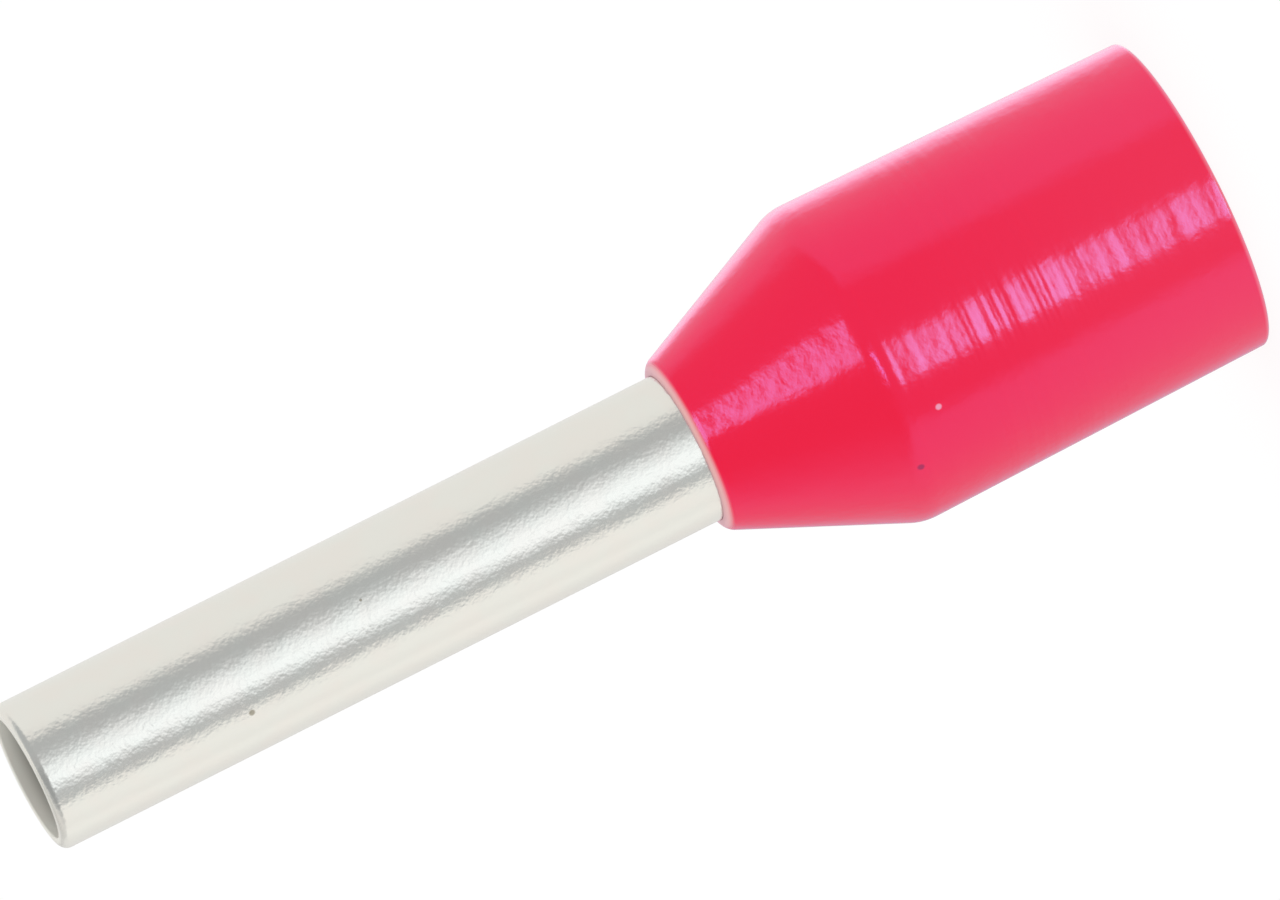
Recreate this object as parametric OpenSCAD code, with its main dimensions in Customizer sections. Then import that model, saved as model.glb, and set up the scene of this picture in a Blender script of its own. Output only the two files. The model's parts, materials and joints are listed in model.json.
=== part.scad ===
// Insulated wire ferrule: a thin drawn metal sleeve, flared at its hidden end,
// pressed into a moulded plastic collar. The stripped wire goes in through the
// collar's mouth, and the flare leads its strands into the sleeve.
// The ferrule stands on the mouth of its collar: the origin is the centre of
// the mouth, Z runs up the common axis to the sleeve's tip, sizes are in mm.

/* [Sleeve] */
// Bore of the sleeve, which takes the bare strands
sleeve_bore_d = 1.4; // [1:0.05:1.8]
// Wall of the sleeve
sleeve_wall = 0.15; // [0.1:0.01:0.2]
// Length of sleeve that stands out of the collar
bare_len = 7.9; // [5:0.1:16]
// How far the flare spreads past the outside of the sleeve, on each side
flare_out = 0.4; // [0.2:0.01:0.5]
// Rounding of the outer edge at the tip
tip_round = 0.1; // [0.02:0.01:0.12]

/* [Collar] */
// Bore of the collar, which takes the wire's insulation
collar_bore_d = 3; // [2.8:0.05:4]
// Length of the barrel, from the mouth to the shoulder
barrel_len = 4.15; // [2.5:0.05:8]
// Length of the cone, from the shoulder to the end of the neck
cone_len = 1.95; // [1.5:0.05:3]
// Wall of the barrel at the mouth
mouth_wall = 0.29; // [0.2:0.01:0.45]
// Wall of the barrel at the shoulder
shoulder_wall = 0.35; // [0.25:0.01:0.5]
// Wall that is left at the end of the neck
neck_wall = 0.12; // [0.08:0.01:0.3]
// Rounding of the shoulder, outside
shoulder_round = 0.65; // [0.1:0.05:1.5]
// Flat that the rounding leaves at the end of the neck
neck_land = 0.01; // [0.005:0.005:0.06]
// Rounding of the outer edge of the mouth
rim_round = 0.04; // [0.01:0.01:0.1]
// Bevel round the inside of the mouth
lead_in = 0.06; // [0.02:0.01:0.12]

/* [Joint between them] */
// Length of neck that grips the sleeve
grip_len = 0.45; // [0.3:0.05:1]
// Gap left round the sleeve and its flare, where the real ones are pressed together
grip_gap = 0.005; // [0:0.005:0.03]
// Radius of the bend where the sleeve opens into its flare
bend_round = 0.3; // [0.1:0.05:0.6]

/* [Hidden] */
$fn = 128;
arc_steps = 8;

sleeve_bore_r = sleeve_bore_d / 2;
sleeve_r = sleeve_bore_r + sleeve_wall;
collar_bore_r = collar_bore_d / 2;
seat_r = sleeve_r + grip_gap;
neck_r = seat_r + neck_wall;
mouth_r = collar_bore_r + mouth_wall;
shoulder_r = collar_bore_r + shoulder_wall;

neck_z = barrel_len + cone_len;
tip_z = neck_z + bare_len;
seat_z = neck_z - grip_len;

// The cone's inside runs parallel to its outside, and the flare lies against it
cone_angle = atan((shoulder_r - neck_r) / cone_len);
inner_shoulder_z = seat_z - (collar_bore_r - seat_r) / tan(cone_angle);

// A line parallel to the cone's inside and closer to the axis meets its own
// upright this much lower, for each mm that it is closer
bend_drop = tan(cone_angle / 2);

function unit(v) = v / norm(v);

// The arc that rounds one corner of an outline, or the corner itself
function rounded_corner(before, corner, after, radius) =
    radius <= 0 ? [corner] :
    let (
        back = unit(before - corner),
        ahead = unit(after - corner),
        half = acos(back * ahead) / 2,
        centre = corner + unit(back + ahead) * radius / sin(half),
        start = corner + back * radius / tan(half) - centre,
        from = atan2(start.y, start.x),
        turn = (180 - 2 * half) * sign(cross(ahead, back))
    )
    [for (i = [0:arc_steps])
        let (a = from + turn * i / arc_steps)
        centre + radius * [cos(a), sin(a)]];

// An outline from corners, each given as [distance from axis, height, rounding]
function rounded_outline(corners) =
    let (
        n = len(corners),
        flat = [for (c = corners) [c[0], c[1]]]
    )
    [for (i = [0:n - 1])
        each rounded_corner(flat[(i + n - 1) % n], flat[i], flat[(i + 1) % n], corners[i][2])];

// Drawn tube with a rounded tip, bent out into a flare at its lower end
module sleeve() {
    flare_r = sleeve_r + flare_out;
    bend_z = seat_z - grip_gap * bend_drop;
    lip_z = bend_z - flare_out / tan(cone_angle);
    lip_inner = [flare_r - sleeve_wall * cos(cone_angle), lip_z - sleeve_wall * sin(cone_angle)];
    lip_round = sleeve_wall * 0.4;
    burr_round = sleeve_wall * 0.15;
    outer_bend = bend_round + grip_gap;

    color([0.84, 0.84, 0.81])
    rotate_extrude()
    polygon(rounded_outline([
        [sleeve_bore_r, tip_z, burr_round],
        [sleeve_bore_r, bend_z - sleeve_wall * bend_drop, outer_bend + sleeve_wall],
        [lip_inner.x, lip_inner.y, lip_round],
        [flare_r, lip_z, lip_round],
        [sleeve_r, bend_z, outer_bend],
        [sleeve_r, tip_z, tip_round]
    ]));
}

// Moulded collar: a barrel with a slight draft, a rounded shoulder, and a cone
// that thins to a feathered neck round the sleeve
module collar() {
    inner_shoulder_round = shoulder_round / 2;
    neck_round = (neck_wall - neck_land) / tan((90 - cone_angle) / 2);

    color([0.93, 0.14, 0.26])
    rotate_extrude()
    polygon(rounded_outline([
        [collar_bore_r + lead_in, 0, 0],
        [mouth_r, 0, rim_round],
        [shoulder_r, barrel_len, shoulder_round],
        [neck_r, neck_z, neck_round],
        [seat_r, neck_z, 0],
        [seat_r, seat_z, bend_round],
        [collar_bore_r, inner_shoulder_z, inner_shoulder_round],
        [collar_bore_r, lead_in, 0]
    ]));
}

sleeve();
collar();
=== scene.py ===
import json
import math

import bpy
from mathutils import Matrix, Vector


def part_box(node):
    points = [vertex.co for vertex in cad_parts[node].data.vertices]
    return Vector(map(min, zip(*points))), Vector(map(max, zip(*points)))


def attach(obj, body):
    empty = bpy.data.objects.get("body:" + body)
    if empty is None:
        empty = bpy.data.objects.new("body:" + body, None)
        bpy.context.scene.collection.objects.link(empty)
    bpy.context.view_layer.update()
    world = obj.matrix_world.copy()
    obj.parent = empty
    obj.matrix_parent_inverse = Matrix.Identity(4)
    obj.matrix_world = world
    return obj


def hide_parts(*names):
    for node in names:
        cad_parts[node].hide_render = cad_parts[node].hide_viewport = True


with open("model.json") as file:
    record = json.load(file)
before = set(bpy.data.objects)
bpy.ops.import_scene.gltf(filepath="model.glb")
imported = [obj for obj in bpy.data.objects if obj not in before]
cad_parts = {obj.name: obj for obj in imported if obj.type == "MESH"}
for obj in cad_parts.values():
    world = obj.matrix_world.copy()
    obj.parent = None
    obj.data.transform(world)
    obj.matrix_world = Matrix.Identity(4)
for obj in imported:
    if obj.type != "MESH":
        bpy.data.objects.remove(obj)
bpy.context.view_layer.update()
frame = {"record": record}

MM = 0.001

# Sizes that the frame states
mount_radius = {m["name"]: m["dims"].get("r_mm", 0) * MM for m in frame["record"]["mounts"]}
bore_r = mount_radius["wire_bore"]
sleeve_r = mount_radius["crimp_pin"]
collar_bore_r = mount_radius["insulation_bore"]
tip_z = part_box("sleeve")[1].z
neck_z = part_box("collar")[1].z

# Walls, lengths and roundings of the two pieces, as the solids have them
FLARE_OUT = 0.4 * MM
TIP_ROUND = 0.1 * MM
BARREL_LEN = 4.15 * MM
MOUTH_WALL = 0.29 * MM
SHOULDER_WALL = 0.35 * MM
NECK_WALL = 0.12 * MM
NECK_LAND = 0.01 * MM
SHOULDER_ROUND = 0.65 * MM
RIM_ROUND = 0.04 * MM
LEAD_IN = 0.06 * MM
GRIP_LEN = 0.45 * MM
GRIP_GAP = 0.005 * MM
BEND_ROUND = 0.3 * MM

# How finely the pieces are turned, how near two points are joined, and from what angle an edge is sharp
SEGMENTS = 192
ARC_STEPS = 24
JOIN_REACH = 0.0001 * MM
SHARP_ANGLE = math.radians(30)

# Colours of the collar's plastic, the sleeve's tin and the specks on them
SHOULDER_RED = (0.95, 0.002, 0.009, 1)
# The mouth's red is paler by painted light, as if shining through the thin wall
MOUTH_GLOW_RED = (0.95, 0.014, 0.027, 1)
THIN_EDGE_PEACH = (1.0, 0.66, 0.55, 1)
# Pale pink of a painted highlight along the mouth rim's rounding
RIM_HIGHLIGHT_PINK = (0.95, 0.45, 0.50, 1)
DARK_DUST = (0.45, 0.0, 0.01, 1)
PALE_DUST = (0.95, 0.35, 0.45, 1)
WARM_TIN = (0.90, 0.87, 0.80, 1)
COOL_TIN = (0.89, 0.88, 0.81, 1)
# Near black of painted shade deep in the sleeve's bore
THROAT_SHADE = (0.10, 0.09, 0.06, 1)
TIN_SPECK = (0.45, 0.42, 0.34, 1)

# Specks: degrees round from the camera's side, height and radius in millimetres, and colour
COLLAR_SPECKS = ((64.4, 2.71, 0.03, DARK_DUST), (-45.2, 4.15, 0.055, DARK_DUST),
                 (33.5, 4.24, 0.03, PALE_DUST), (-26.2, 3.75, 0.045, PALE_DUST))
SLEEVE_SPECKS = ((-31.1, 11.64, 0.045, TIN_SPECK), (7.2, 10.08, 0.02, TIN_SPECK))

# Marks in the collar's surface, in millimetres: how deep they are, and where the rings crowd
RING_DEPTH = 0.001
CROWDED_RING_DEPTH = 0.006
CROWDED_HEIGHT = 2.5
CROWDED_REACH = 1.1
WAVE_DEPTH = 0.010
WAVE_START = 43.0
WAVER_DEPTH = 0.006
SCUFF_DEPTH = 0.003
BOW = 0.005
FLARE = 0.016
FLARE_START = 5.2

# Marks in the sleeve's surface, in millimetres: how deep they are, and where painted shade darkens its
# throat
LUMP_DEPTH = 0.004
FACET_DEPTH = 0.004
THROAT_SHADE_TOP = 0.05
THROAT_SHADE_BOTTOM = 0.35

# Camera: a long lens a little above the ferrule, rolled so that the ferrule lies across the view
CAMERA_DISTANCE = 0.32
CAMERA_ELEVATION = math.radians(9.4)
CAMERA_ROLL = math.radians(-116.71)
SENSOR_WIDTH = 36
VIEW_WIDTH = 13.585 * MM
SHIFT_RIGHT = 0.3131 * MM
SHIFT_UP = 0.3783 * MM

# Tent, lamps and floor
TENT_LEVEL = 1.03
LAMP_DISTANCE = 0.4
FLOOR_SIDE = 0.6
FLOOR_GREY = 0.15
FLOOR_GLOW = 0.86


class Value:
    """One output of a node. Using it in an expression adds the Math nodes for that expression."""

    def __init__(self, tree, socket):
        self.tree = tree
        self.socket = socket

    def __add__(self, other):
        return self.tree.math("ADD", self, other)

    def __sub__(self, other):
        return self.tree.math("SUBTRACT", self, other)

    def __mul__(self, other):
        return self.tree.math("MULTIPLY", self, other)

    def __truediv__(self, other):
        return self.tree.math("DIVIDE", self, other)

    def __radd__(self, other):
        return self.tree.math("ADD", other, self)

    def __rsub__(self, other):
        return self.tree.math("SUBTRACT", other, self)

    def __rmul__(self, other):
        return self.tree.math("MULTIPLY", other, self)


class Tree:
    """Adds nodes to a node tree, with numbers, colours or other nodes' outputs on their sockets."""

    def __init__(self, node_tree):
        self.nodes = node_tree.nodes
        self.links = node_tree.links

    def node(self, kind, settings=None, **sockets):
        """A node of this kind. A socket goes by its label, with _ for a space, or by its place, as _0."""
        made = self.nodes.new(kind)
        for name, setting in (settings or {}).items():
            setattr(made, name, setting)
        for name, given in sockets.items():
            place = name[1:]
            socket = made.inputs[int(place) if place.isdigit() else name.replace("_", " ")]
            given = given.socket if isinstance(given, Value) else given
            if isinstance(given, bpy.types.NodeSocket):
                self.links.new(given, socket)
            else:
                socket.default_value = given
        return made

    def value(self, kind, settings=None, out=0, **sockets):
        """One output of a new node, by its place or its label, for use in expressions."""
        return Value(self, self.node(kind, settings, **sockets).outputs[out])

    def captured(self, geometry, kind, name, field):
        """The geometry with a field's values kept on it, and those values."""
        keeper = self.nodes.new("GeometryNodeCaptureAttribute")
        keeper.capture_items.new(kind, name)
        self.links.new(geometry.socket, keeper.inputs[0])
        self.links.new(field.socket, keeper.inputs[1])
        return Value(self, keeper.outputs[0]), Value(self, keeper.outputs[1])

    def math(self, operation, *values):
        sockets = {f"_{place}": value for place, value in enumerate(values)}
        return self.value("ShaderNodeMath", {"operation": operation}, **sockets)

    def xyz(self, vector):
        """The three parts of a vector."""
        parts = self.node("ShaderNodeSeparateXYZ", Vector=vector).outputs
        return [Value(self, part) for part in parts]

    def scaled(self, vector, scale):
        return self.value("ShaderNodeVectorMath", {"operation": "SCALE"}, _0=vector, Scale=scale)

    def mix(self, factor, a, b):
        return self.value("ShaderNodeMix", {"data_type": "RGBA"}, out=2, Factor=factor, _6=a, _7=b)

    def smooth(self, value, start, end, low=0.0, high=1.0):
        """low where the value is at start, high where it is at end, with a soft step between."""
        return self.value("ShaderNodeMapRange", {"interpolation_type": "SMOOTHSTEP"},
                          Value=value, From_Min=start, From_Max=end, To_Min=low, To_Max=high)

    def near(self, value, centre, reach):
        """1 where the value is at the centre, falling softly to 0 at reach from it."""
        return self.smooth(self.math("ABSOLUTE", value - centre), reach, 0.0)

    def rings(self, height, scale):
        """Noise that changes only with the height."""
        return self.value("ShaderNodeTexNoise", {"noise_dimensions": "1D"},
                          W=height, Scale=scale, Detail=1.0)

    def mottle(self, place, scale, detail):
        """Noise that changes all over the surface."""
        return self.value("ShaderNodeTexNoise", Vector=place, Scale=scale, Detail=detail)

    def bump(self, relief):
        """The normal of a surface with this relief, in millimetres."""
        return self.value("ShaderNodeBump", Strength=1.0, Distance=MM, Height=relief)


# ---- The two turned pieces ----

def turning_tree(name, corner_names):
    """Node group that joins an outline's corners, rounds them and turns the outline about the Z axis."""
    group = bpy.data.node_groups.new(name + " turning", "GeometryNodeTree")
    for corner_name in corner_names:
        group.interface.new_socket(corner_name, in_out="INPUT", socket_type="NodeSocketVector")
    group.interface.new_socket("Segments", in_out="INPUT", socket_type="NodeSocketInt")
    group.interface.new_socket("Arc steps", in_out="INPUT", socket_type="NodeSocketInt")
    group.interface.new_socket("Material", in_out="INPUT", socket_type="NodeSocketMaterial")
    group.interface.new_socket("Geometry", in_out="OUTPUT", socket_type="NodeSocketGeometry")

    tree = Tree(group)
    given = tree.node("NodeGroupInput").outputs
    index = tree.value("GeometryNodeInputIndex")

    # The closed outline, in the XZ plane
    choice = tree.node("GeometryNodeIndexSwitch", {"data_type": "VECTOR"}, Index=index)
    for _ in range(len(corner_names) - 2):
        choice.index_switch_items.new()
    for place, corner_name in enumerate(corner_names, start=1):
        group.links.new(given[corner_name], choice.inputs[place])
    corner_r, corner_z, rounding = tree.xyz(choice.outputs[0])
    corners = tree.value("GeometryNodePoints", Count=len(corner_names), Radius=rounding,
                         Position=tree.value("ShaderNodeCombineXYZ", X=corner_r, Z=corner_z))
    loop = tree.value("GeometryNodeSetSplineCyclic", Cyclic=True,
                      Geometry=tree.value("GeometryNodePointsToCurves", Points=corners))
    rounded = tree.value("GeometryNodeFilletCurve", {"mode": "POLY"}, Curve=loop, Limit_Radius=True,
                         Radius=tree.value("GeometryNodeInputRadius"), Count=given["Arc steps"])

    # Each of its points, carried round the circle
    profile, outline_place = tree.captured(rounded, "VECTOR", "Outline",
                                           tree.value("GeometryNodeInputPosition"))
    full_circle = tree.value("GeometryNodeCurvePrimitiveCircle", Resolution=given["Segments"])
    circle, turn = tree.captured(full_circle, "FLOAT", "Turn", index * math.tau / given["Segments"])
    swept = tree.value("GeometryNodeCurveToMesh", Curve=circle, Profile_Curve=profile)
    radius, _, height = tree.xyz(outline_place)
    place_round = tree.value("ShaderNodeCombineXYZ", X=radius * tree.math("COSINE", turn),
                             Y=radius * tree.math("SINE", turn), Z=height)
    turned = tree.value("GeometryNodeSetPosition", Geometry=swept, Position=place_round)

    # One closed mesh, smooth but for its sharp edges
    joined = tree.value("GeometryNodeMergeByDistance", Geometry=turned, Distance=JOIN_REACH)
    smoothed = tree.value("GeometryNodeSetShadeSmooth", {"domain": "FACE"}, Geometry=joined,
                          Shade_Smooth=True)
    is_sharp = tree.math("GREATER_THAN", tree.value("GeometryNodeInputMeshEdgeAngle"), SHARP_ANGLE)
    edged = tree.value("GeometryNodeSetShadeSmooth", {"domain": "EDGE"}, Geometry=smoothed,
                       Selection=is_sharp, Shade_Smooth=False)
    real = tree.value("GeometryNodeRealizeInstances", Geometry=edged)
    coated = tree.value("GeometryNodeSetMaterial", Geometry=real, Material=given["Material"])
    tree.node("NodeGroupOutput", Geometry=coated)
    return group


def turned_piece(name, outline, material):
    """A closed solid of revolution. The outline gives each corner's name with (radius, height, rounding)."""
    group = turning_tree(name, list(outline))
    piece = bpy.data.objects.new(name, bpy.data.meshes.new(name))
    bpy.context.scene.collection.objects.link(piece)
    turning = piece.modifiers.new("Turning", "NODES")
    turning.node_group = group
    settings = outline | {"Segments": SEGMENTS, "Arc steps": ARC_STEPS, "Material": material}
    for item in group.interface.items_tree:
        if item.in_out == "INPUT":
            turning[item.identifier] = settings[item.name]
    evaluated = piece.evaluated_get(bpy.context.evaluated_depsgraph_get())
    piece.data = bpy.data.meshes.new_from_object(evaluated)
    piece.modifiers.clear()
    return piece


def make_sleeve(material):
    """The thin metal tube, with its lower end flared out inside the collar."""
    wall = sleeve_r - bore_r
    bore_edge_round = wall * 0.15
    lip_round = wall * 0.4
    bend_z = seat_z - GRIP_GAP * bend_drop
    outer_bend = BEND_ROUND + GRIP_GAP
    lip_r = sleeve_r + FLARE_OUT
    lip_z = bend_z - FLARE_OUT / math.tan(cone_angle)
    inner_lip_r = lip_r - wall * math.cos(cone_angle)
    inner_lip_z = lip_z - wall * math.sin(cone_angle)
    outline = {
        "Tip bore": (bore_r, tip_z, bore_edge_round),
        "Flare bend, inside": (bore_r, bend_z - wall * bend_drop, outer_bend + wall),
        "Flare lip, inside": (inner_lip_r, inner_lip_z, lip_round),
        "Flare lip, outside": (lip_r, lip_z, lip_round),
        "Flare bend, outside": (sleeve_r, bend_z, outer_bend),
        "Tip": (sleeve_r, tip_z, TIP_ROUND),
    }
    return turned_piece("flared_sleeve", outline, material)


def make_collar(material):
    """The moulded collar: a barrel for the insulation, with a funnel that narrows onto the sleeve."""
    mouth_r = collar_bore_r + MOUTH_WALL
    neck_round = (NECK_WALL - NECK_LAND) / math.tan((math.pi / 2 - cone_angle) / 2)
    inner_shoulder_z = seat_z - (collar_bore_r - seat_r) / math.tan(cone_angle)
    outline = {
        "Mouth lead-in": (collar_bore_r + LEAD_IN, 0, 0),
        "Mouth rim": (mouth_r, 0, RIM_ROUND),
        "Shoulder": (shoulder_r, BARREL_LEN, SHOULDER_ROUND),
        "Neck": (neck_r, neck_z, neck_round),
        "Neck edge": (seat_r, neck_z, 0),
        "Seat": (seat_r, seat_z, BEND_ROUND),
        "Inner shoulder": (collar_bore_r, inner_shoulder_z, SHOULDER_ROUND / 2),
        "Insulation bore": (collar_bore_r, LEAD_IN, 0),
    }
    return turned_piece("funnel_collar", outline, material)


seat_r = sleeve_r + GRIP_GAP
neck_r = seat_r + NECK_WALL
shoulder_r = collar_bore_r + SHOULDER_WALL
seat_z = neck_z - GRIP_LEN
cone_angle = math.atan((shoulder_r - neck_r) / (neck_z - BARREL_LEN))
bend_drop = math.tan(cone_angle / 2)


# ---- Materials. Places and heights in them are in millimetres ----

def new_material(name):
    material = bpy.data.materials.new(name)
    material.use_nodes = True
    material.node_tree.nodes.clear()
    return material, Tree(material.node_tree)


def surface_place(tree):
    """The place on a piece, and its height along the ferrule."""
    place = tree.scaled(tree.value("ShaderNodeTexCoord", out="Object"), 1 / MM)
    return place, tree.xyz(place)[2]


def add_specks(tree, base, place, radius, specks):
    """The base colour with small specks on it, on a surface of this radius."""
    for turn, up, size, colour in specks:
        angle = math.radians(turn)
        centre = (radius / MM * math.sin(angle), -radius / MM * math.cos(angle), up)
        reach = tree.value("ShaderNodeVectorMath", {"operation": "DISTANCE"}, out="Value",
                           _0=place, _1=centre)
        base = tree.mix(tree.smooth(reach, size, size * 0.5), base, colour)
    return base


def red_plastic_material():
    material, tree = new_material("Red moulded plastic")
    place, height = surface_place(tree)
    barrel_top = BARREL_LEN / MM
    collar_top = neck_z / MM

    # Rings left by the mould, crowded halfway down, over broader waves and a faint bow of the barrel
    on_barrel = tree.smooth(height, barrel_top + 0.3, barrel_top - 0.3)
    crowded = tree.near(height, CROWDED_HEIGHT, CROWDED_REACH)
    ring_depth = on_barrel * (RING_DEPTH + CROWDED_RING_DEPTH * crowded)
    fine_rings = tree.rings(height, 9.0) * ring_depth
    waves = tree.rings(height + WAVE_START, 3.2) * WAVE_DEPTH
    from_shoulder = barrel_top - height
    bow = from_shoulder * from_shoulder * BOW

    # The cone flares a little by the neck, and nothing is quite even
    up_cone = tree.math("MAXIMUM", height - FLARE_START, 0.0)
    flare = up_cone * up_cone * FLARE
    waver = tree.mottle(place, 2.5, 1.0) * WAVER_DEPTH
    scuffs = tree.mottle(place, 9.0, 2.0) * SCUFF_DEPTH
    relief = fine_rings + (waves + bow) * on_barrel + flare + waver + scuffs

    # The red is a little paler toward the mouth, a painted glow of light shining through the thin wall
    # there, and pale where the moulding ends thin
    mouth_glow = tree.smooth(height, barrel_top, 0.0)
    red = tree.mix(mouth_glow, SHOULDER_RED, MOUTH_GLOW_RED)
    thin_edge = tree.smooth(height, collar_top - 0.07, collar_top - 0.01)
    red = tree.mix(thin_edge * 0.8, red, THIN_EDGE_PEACH)
    # Painted highlight: the rounded mouth rim is painted pale pink, standing in for its reflection of the
    # tent
    rim_highlight = tree.smooth(height, 0.06, 0.01)
    red = tree.mix(rim_highlight * 0.4, red, RIM_HIGHLIGHT_PINK)
    red = add_specks(tree, red, place, shoulder_r, COLLAR_SPECKS)
    plastic = tree.node("ShaderNodeBsdfPrincipled", Base_Color=red, Roughness=0.15 + 0.35 * thin_edge,
                        IOR=1.65, Specular_IOR_Level=1.0, Specular_Tint=(0.09, 0.33, 1.0, 1),
                        Sheen_Weight=0.18, Sheen_Roughness=0.35, Sheen_Tint=(0.0, 0.12, 1.0, 1),
                        Normal=tree.bump(relief))
    tree.node("ShaderNodeOutputMaterial", Surface=plastic.outputs[0])
    return material


def tinned_metal_material():
    material, tree = new_material("Tinned metal")
    place, height = surface_place(tree)
    x, y, _ = tree.xyz(place)
    radius = tree.math("SQRT", x * x + y * y)
    in_bore = tree.smooth(radius, (bore_r * 0.3 + sleeve_r * 0.7) / MM, bore_r / MM)

    # Uneven tin over a drawn tube: soft lumps and fine facets outside, dull and plain in the bore
    lumps = tree.mottle(place, 5.0, 0.0)
    facets = tree.mottle(place, 20.0, 1.0)
    relief = (lumps * LUMP_DEPTH + facets * FACET_DEPTH) * (1 - in_bore)

    # Tin stained warmer and cooler, with painted shade that darkens the throat below the tip
    stain = tree.mottle(place, 2.5, 3.0)
    tin = tree.mix(tree.smooth(stain, 0.35, 0.65), WARM_TIN, COOL_TIN)
    depth = tree.smooth(height, tip_z / MM - THROAT_SHADE_TOP, tip_z / MM - THROAT_SHADE_BOTTOM)
    tin = tree.mix(in_bore * depth * 0.85, tin, THROAT_SHADE)
    tin = add_specks(tree, tin, place, sleeve_r, SLEEVE_SPECKS)
    metal = tree.node("ShaderNodeBsdfPrincipled", Base_Color=tin, Metallic=1.0 - 0.6 * in_bore,
                      Roughness=0.24 + 0.4 * in_bore, Normal=tree.bump(relief))
    tree.node("ShaderNodeOutputMaterial", Surface=metal.outputs[0])
    return material


sleeve = make_sleeve(tinned_metal_material())
collar = make_collar(red_plastic_material())
for piece, node, slot in ((sleeve, "sleeve", "tinned_metal"), (collar, "collar", "red_plastic")):
    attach(piece, "root")
    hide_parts(node)


# ---- Light tent, lamps, floor and camera. Angles are in degrees, from the camera's side ----

def build_tent():
    """A white tent all round. Gloss and metal also see its darker opening, on the camera's side."""
    world = bpy.data.worlds.new("Light tent")
    bpy.context.scene.world = world
    world.use_nodes = True
    world.node_tree.nodes.clear()
    tree = Tree(world.node_tree)
    x, y, z = tree.xyz(tree.value("ShaderNodeTexCoord", out="Generated"))
    azimuth = tree.math("ARCTAN2", 0 - x, 0 - y) * (180 / math.pi)
    elevation = tree.math("ARCSINE", z) * (180 / math.pi)

    # The opening is wider and softer high up
    high = tree.smooth(elevation, 5.0, 25.0)
    left_edge = -52.0 - 56.0 * high
    left_blur = 8.0 + 12.0 * high
    right_edge = 55.0 + 32.0 * high
    right_blur = 8.0 + 35.0 * high
    past_left = tree.smooth((azimuth - left_edge) / left_blur, -1.0, 1.0)
    past_right = tree.smooth((azimuth - right_edge) / right_blur, -1.0, 1.0)
    opening = past_left * (1 - past_right)

    # The wall is brighter to the right and dim behind it; the opening is dimmest high on the right
    wall_level = tree.smooth(azimuth, -60.0, 60.0, 0.85, 0.94) - 0.3 * tree.smooth(azimuth, 70.0, 150.0)
    opening_level = 0.46 - 0.12 * high * tree.smooth(azimuth, -25.0, 15.0)
    wall = tree.scaled((1, 1, 1), wall_level)
    dim = tree.scaled((0.97, 1.01, 1.06), opening_level)
    tent = tree.mix(opening, wall, dim)

    rays = tree.node("ShaderNodeLightPath").outputs
    mirrored = Value(tree, rays["Is Glossy Ray"]) + Value(tree, rays["Is Transmission Ray"])
    inside = tree.mix(mirrored, (TENT_LEVEL, TENT_LEVEL, TENT_LEVEL, 1), tent)
    seen = tree.mix(Value(tree, rays["Is Camera Ray"]), inside, (1, 1, 1, 1))
    glow = tree.node("ShaderNodeBackground", Color=seen, Strength=1.0)
    tree.node("ShaderNodeOutputWorld", Surface=glow.outputs[0])


def soften_edges(lamp_data, soft, fade):
    """Fades a panel's light out at its edges, by these shares of its half width and half height."""
    lamp_data.use_nodes = True
    lamp_data.node_tree.nodes.clear()
    tree = Tree(lamp_data.node_tree)
    across, up, _ = tree.xyz(tree.value("ShaderNodeNewGeometry", out="Parametric"))
    from_side = tree.math("ABSOLUTE", across * 2 - 1)
    from_middle_height = tree.math("ABSOLUTE", up * 2 - 1)
    level = (tree.smooth(from_side, 1.0, 1.0 - soft[0])
             * tree.smooth(from_middle_height, 1.0, 1.0 - soft[1])
             * (1 - fade * across))
    panel = tree.node("ShaderNodeEmission", Strength=level)
    tree.node("ShaderNodeOutputLight", Surface=panel.outputs[0])


def add_lamp(name, azimuth, elevation, width, height, radiance, pieces,
             soft=(0.25, 0.25), fade=0.0, colour=(1, 1, 1)):
    """A panel lamp for the gloss of some pieces. Its place, width and height are angles at the ferrule's
    middle. fade is how much dimmer its left end is than its right end."""
    side = 2 * LAMP_DISTANCE * math.tan(math.radians(width / 2))
    rise = 2 * LAMP_DISTANCE * math.tan(math.radians(height / 2))
    data = bpy.data.lights.new(name, "AREA")
    data.shape = "RECTANGLE"
    data.size = side
    data.size_y = rise
    data.energy = radiance * math.pi * side * rise
    data.color = colour
    soften_edges(data, soft, fade)

    lamp = bpy.data.objects.new(name, data)
    bpy.context.scene.collection.objects.link(lamp)
    turn, tilt = math.radians(azimuth), math.radians(elevation)
    outward = Vector((-math.sin(turn) * math.cos(tilt), -math.cos(turn) * math.cos(tilt), math.sin(tilt)))
    lamp.matrix_world = (Matrix.Translation(middle + outward * LAMP_DISTANCE)
                         @ outward.to_track_quat("Z", "Y").to_matrix().to_4x4())
    lamp.visible_diffuse = False
    lit = bpy.data.collections.new(name + " lights")
    for piece in pieces:
        lit.objects.link(piece)
    lamp.light_linking.receiver_collection = lit


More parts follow.
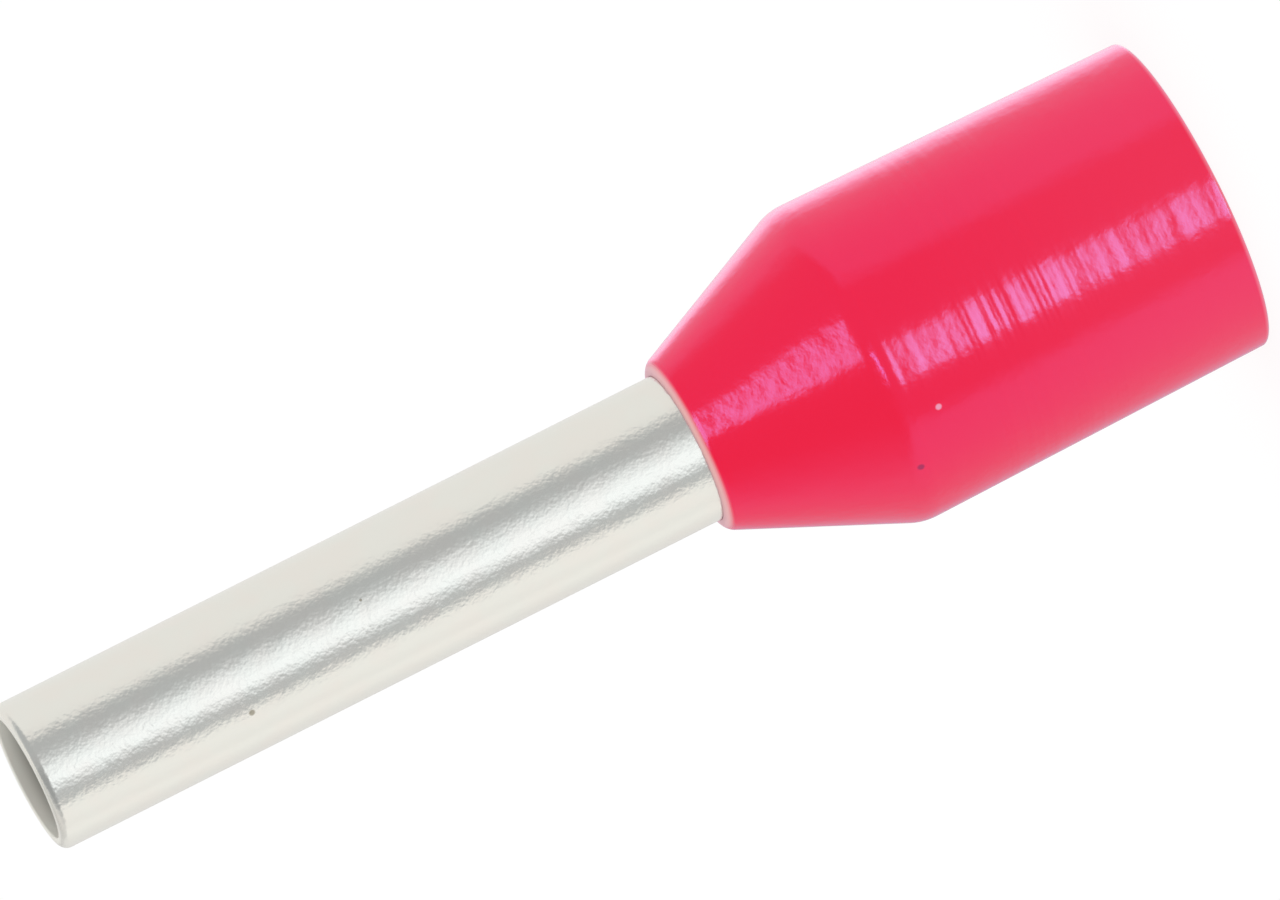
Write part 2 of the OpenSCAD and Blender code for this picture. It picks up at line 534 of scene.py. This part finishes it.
def add_lamps():
    """The bands and glints along the two pieces."""
    add_lamp("Low lamp on collar", azimuth=12, elevation=-24, width=33, height=36, radiance=4.6,
             pieces=[collar], soft=(0.4, 0.5), fade=0.3, colour=(1.0, 1.25, 0.95))
    add_lamp("Low lamp on sleeve", azimuth=6, elevation=-20, width=70, height=60, radiance=1.05,
             pieces=[sleeve], soft=(0.8, 0.3), fade=0.9, colour=(0.97, 1.02, 1.08))
    add_lamp("High lamp", azimuth=-17, elevation=55, width=33, height=38, radiance=2.9,
             pieces=[collar], soft=(0.3, 0.15), colour=(1.0, 1.15, 0.95))
    add_lamp("Strip lamp", azimuth=10, elevation=17, width=22, height=4, radiance=6.0, pieces=[collar])
    add_lamp("Rim lamp", azimuth=-150, elevation=-8, width=56, height=40, radiance=1.2,
             pieces=[collar], soft=(1.0, 0.5), colour=(1.0, 0.9, 1.0))
    add_lamp("Side lamp on sleeve", azimuth=135, elevation=0, width=80, height=60, radiance=0.16,
             pieces=[sleeve], soft=(0.5, 0.3))


def add_floor():
    """A plain pale floor that shows the ferrule's shadow to the camera and nothing to the ferrule."""
    bpy.ops.mesh.primitive_plane_add(size=FLOOR_SIDE)
    floor = bpy.context.object
    floor.name = "pale_floor"
    material, tree = new_material("Pale floor")
    diffuse = tree.node("ShaderNodeBsdfDiffuse", Color=(FLOOR_GREY, FLOOR_GREY, FLOOR_GREY, 1))
    glow = tree.node("ShaderNodeEmission", Color=(1, 1, 1, 1), Strength=FLOOR_GLOW)
    both = tree.node("ShaderNodeAddShader", _0=diffuse.outputs[0], _1=glow.outputs[0])
    tree.node("ShaderNodeOutputMaterial", Surface=both.outputs[0])
    floor.data.materials.append(material)
    floor.visible_glossy = False
    floor.visible_diffuse = False
    floor.visible_shadow = False


def add_camera():
    data = bpy.data.cameras.new("Long lens")
    data.sensor_width = SENSOR_WIDTH
    data.lens = SENSOR_WIDTH * CAMERA_DISTANCE / VIEW_WIDTH
    data.clip_start = 0.01
    data.clip_end = 20
    camera = bpy.data.objects.new("Camera", data)
    bpy.context.scene.collection.objects.link(camera)
    upright = Matrix.Rotation(math.pi / 2 - CAMERA_ELEVATION, 4, "X")
    turned = upright @ Matrix.Rotation(CAMERA_ROLL, 4, "Z")
    shift = turned @ Vector((SHIFT_RIGHT, SHIFT_UP, CAMERA_DISTANCE))
    camera.matrix_world = Matrix.Translation(middle + shift) @ turned
    bpy.context.scene.camera = camera


middle = Vector((0, 0, tip_z / 2))
build_tent()
add_lamps()
add_floor()
add_camera()
bpy.context.scene.view_settings.view_transform = "Standard"
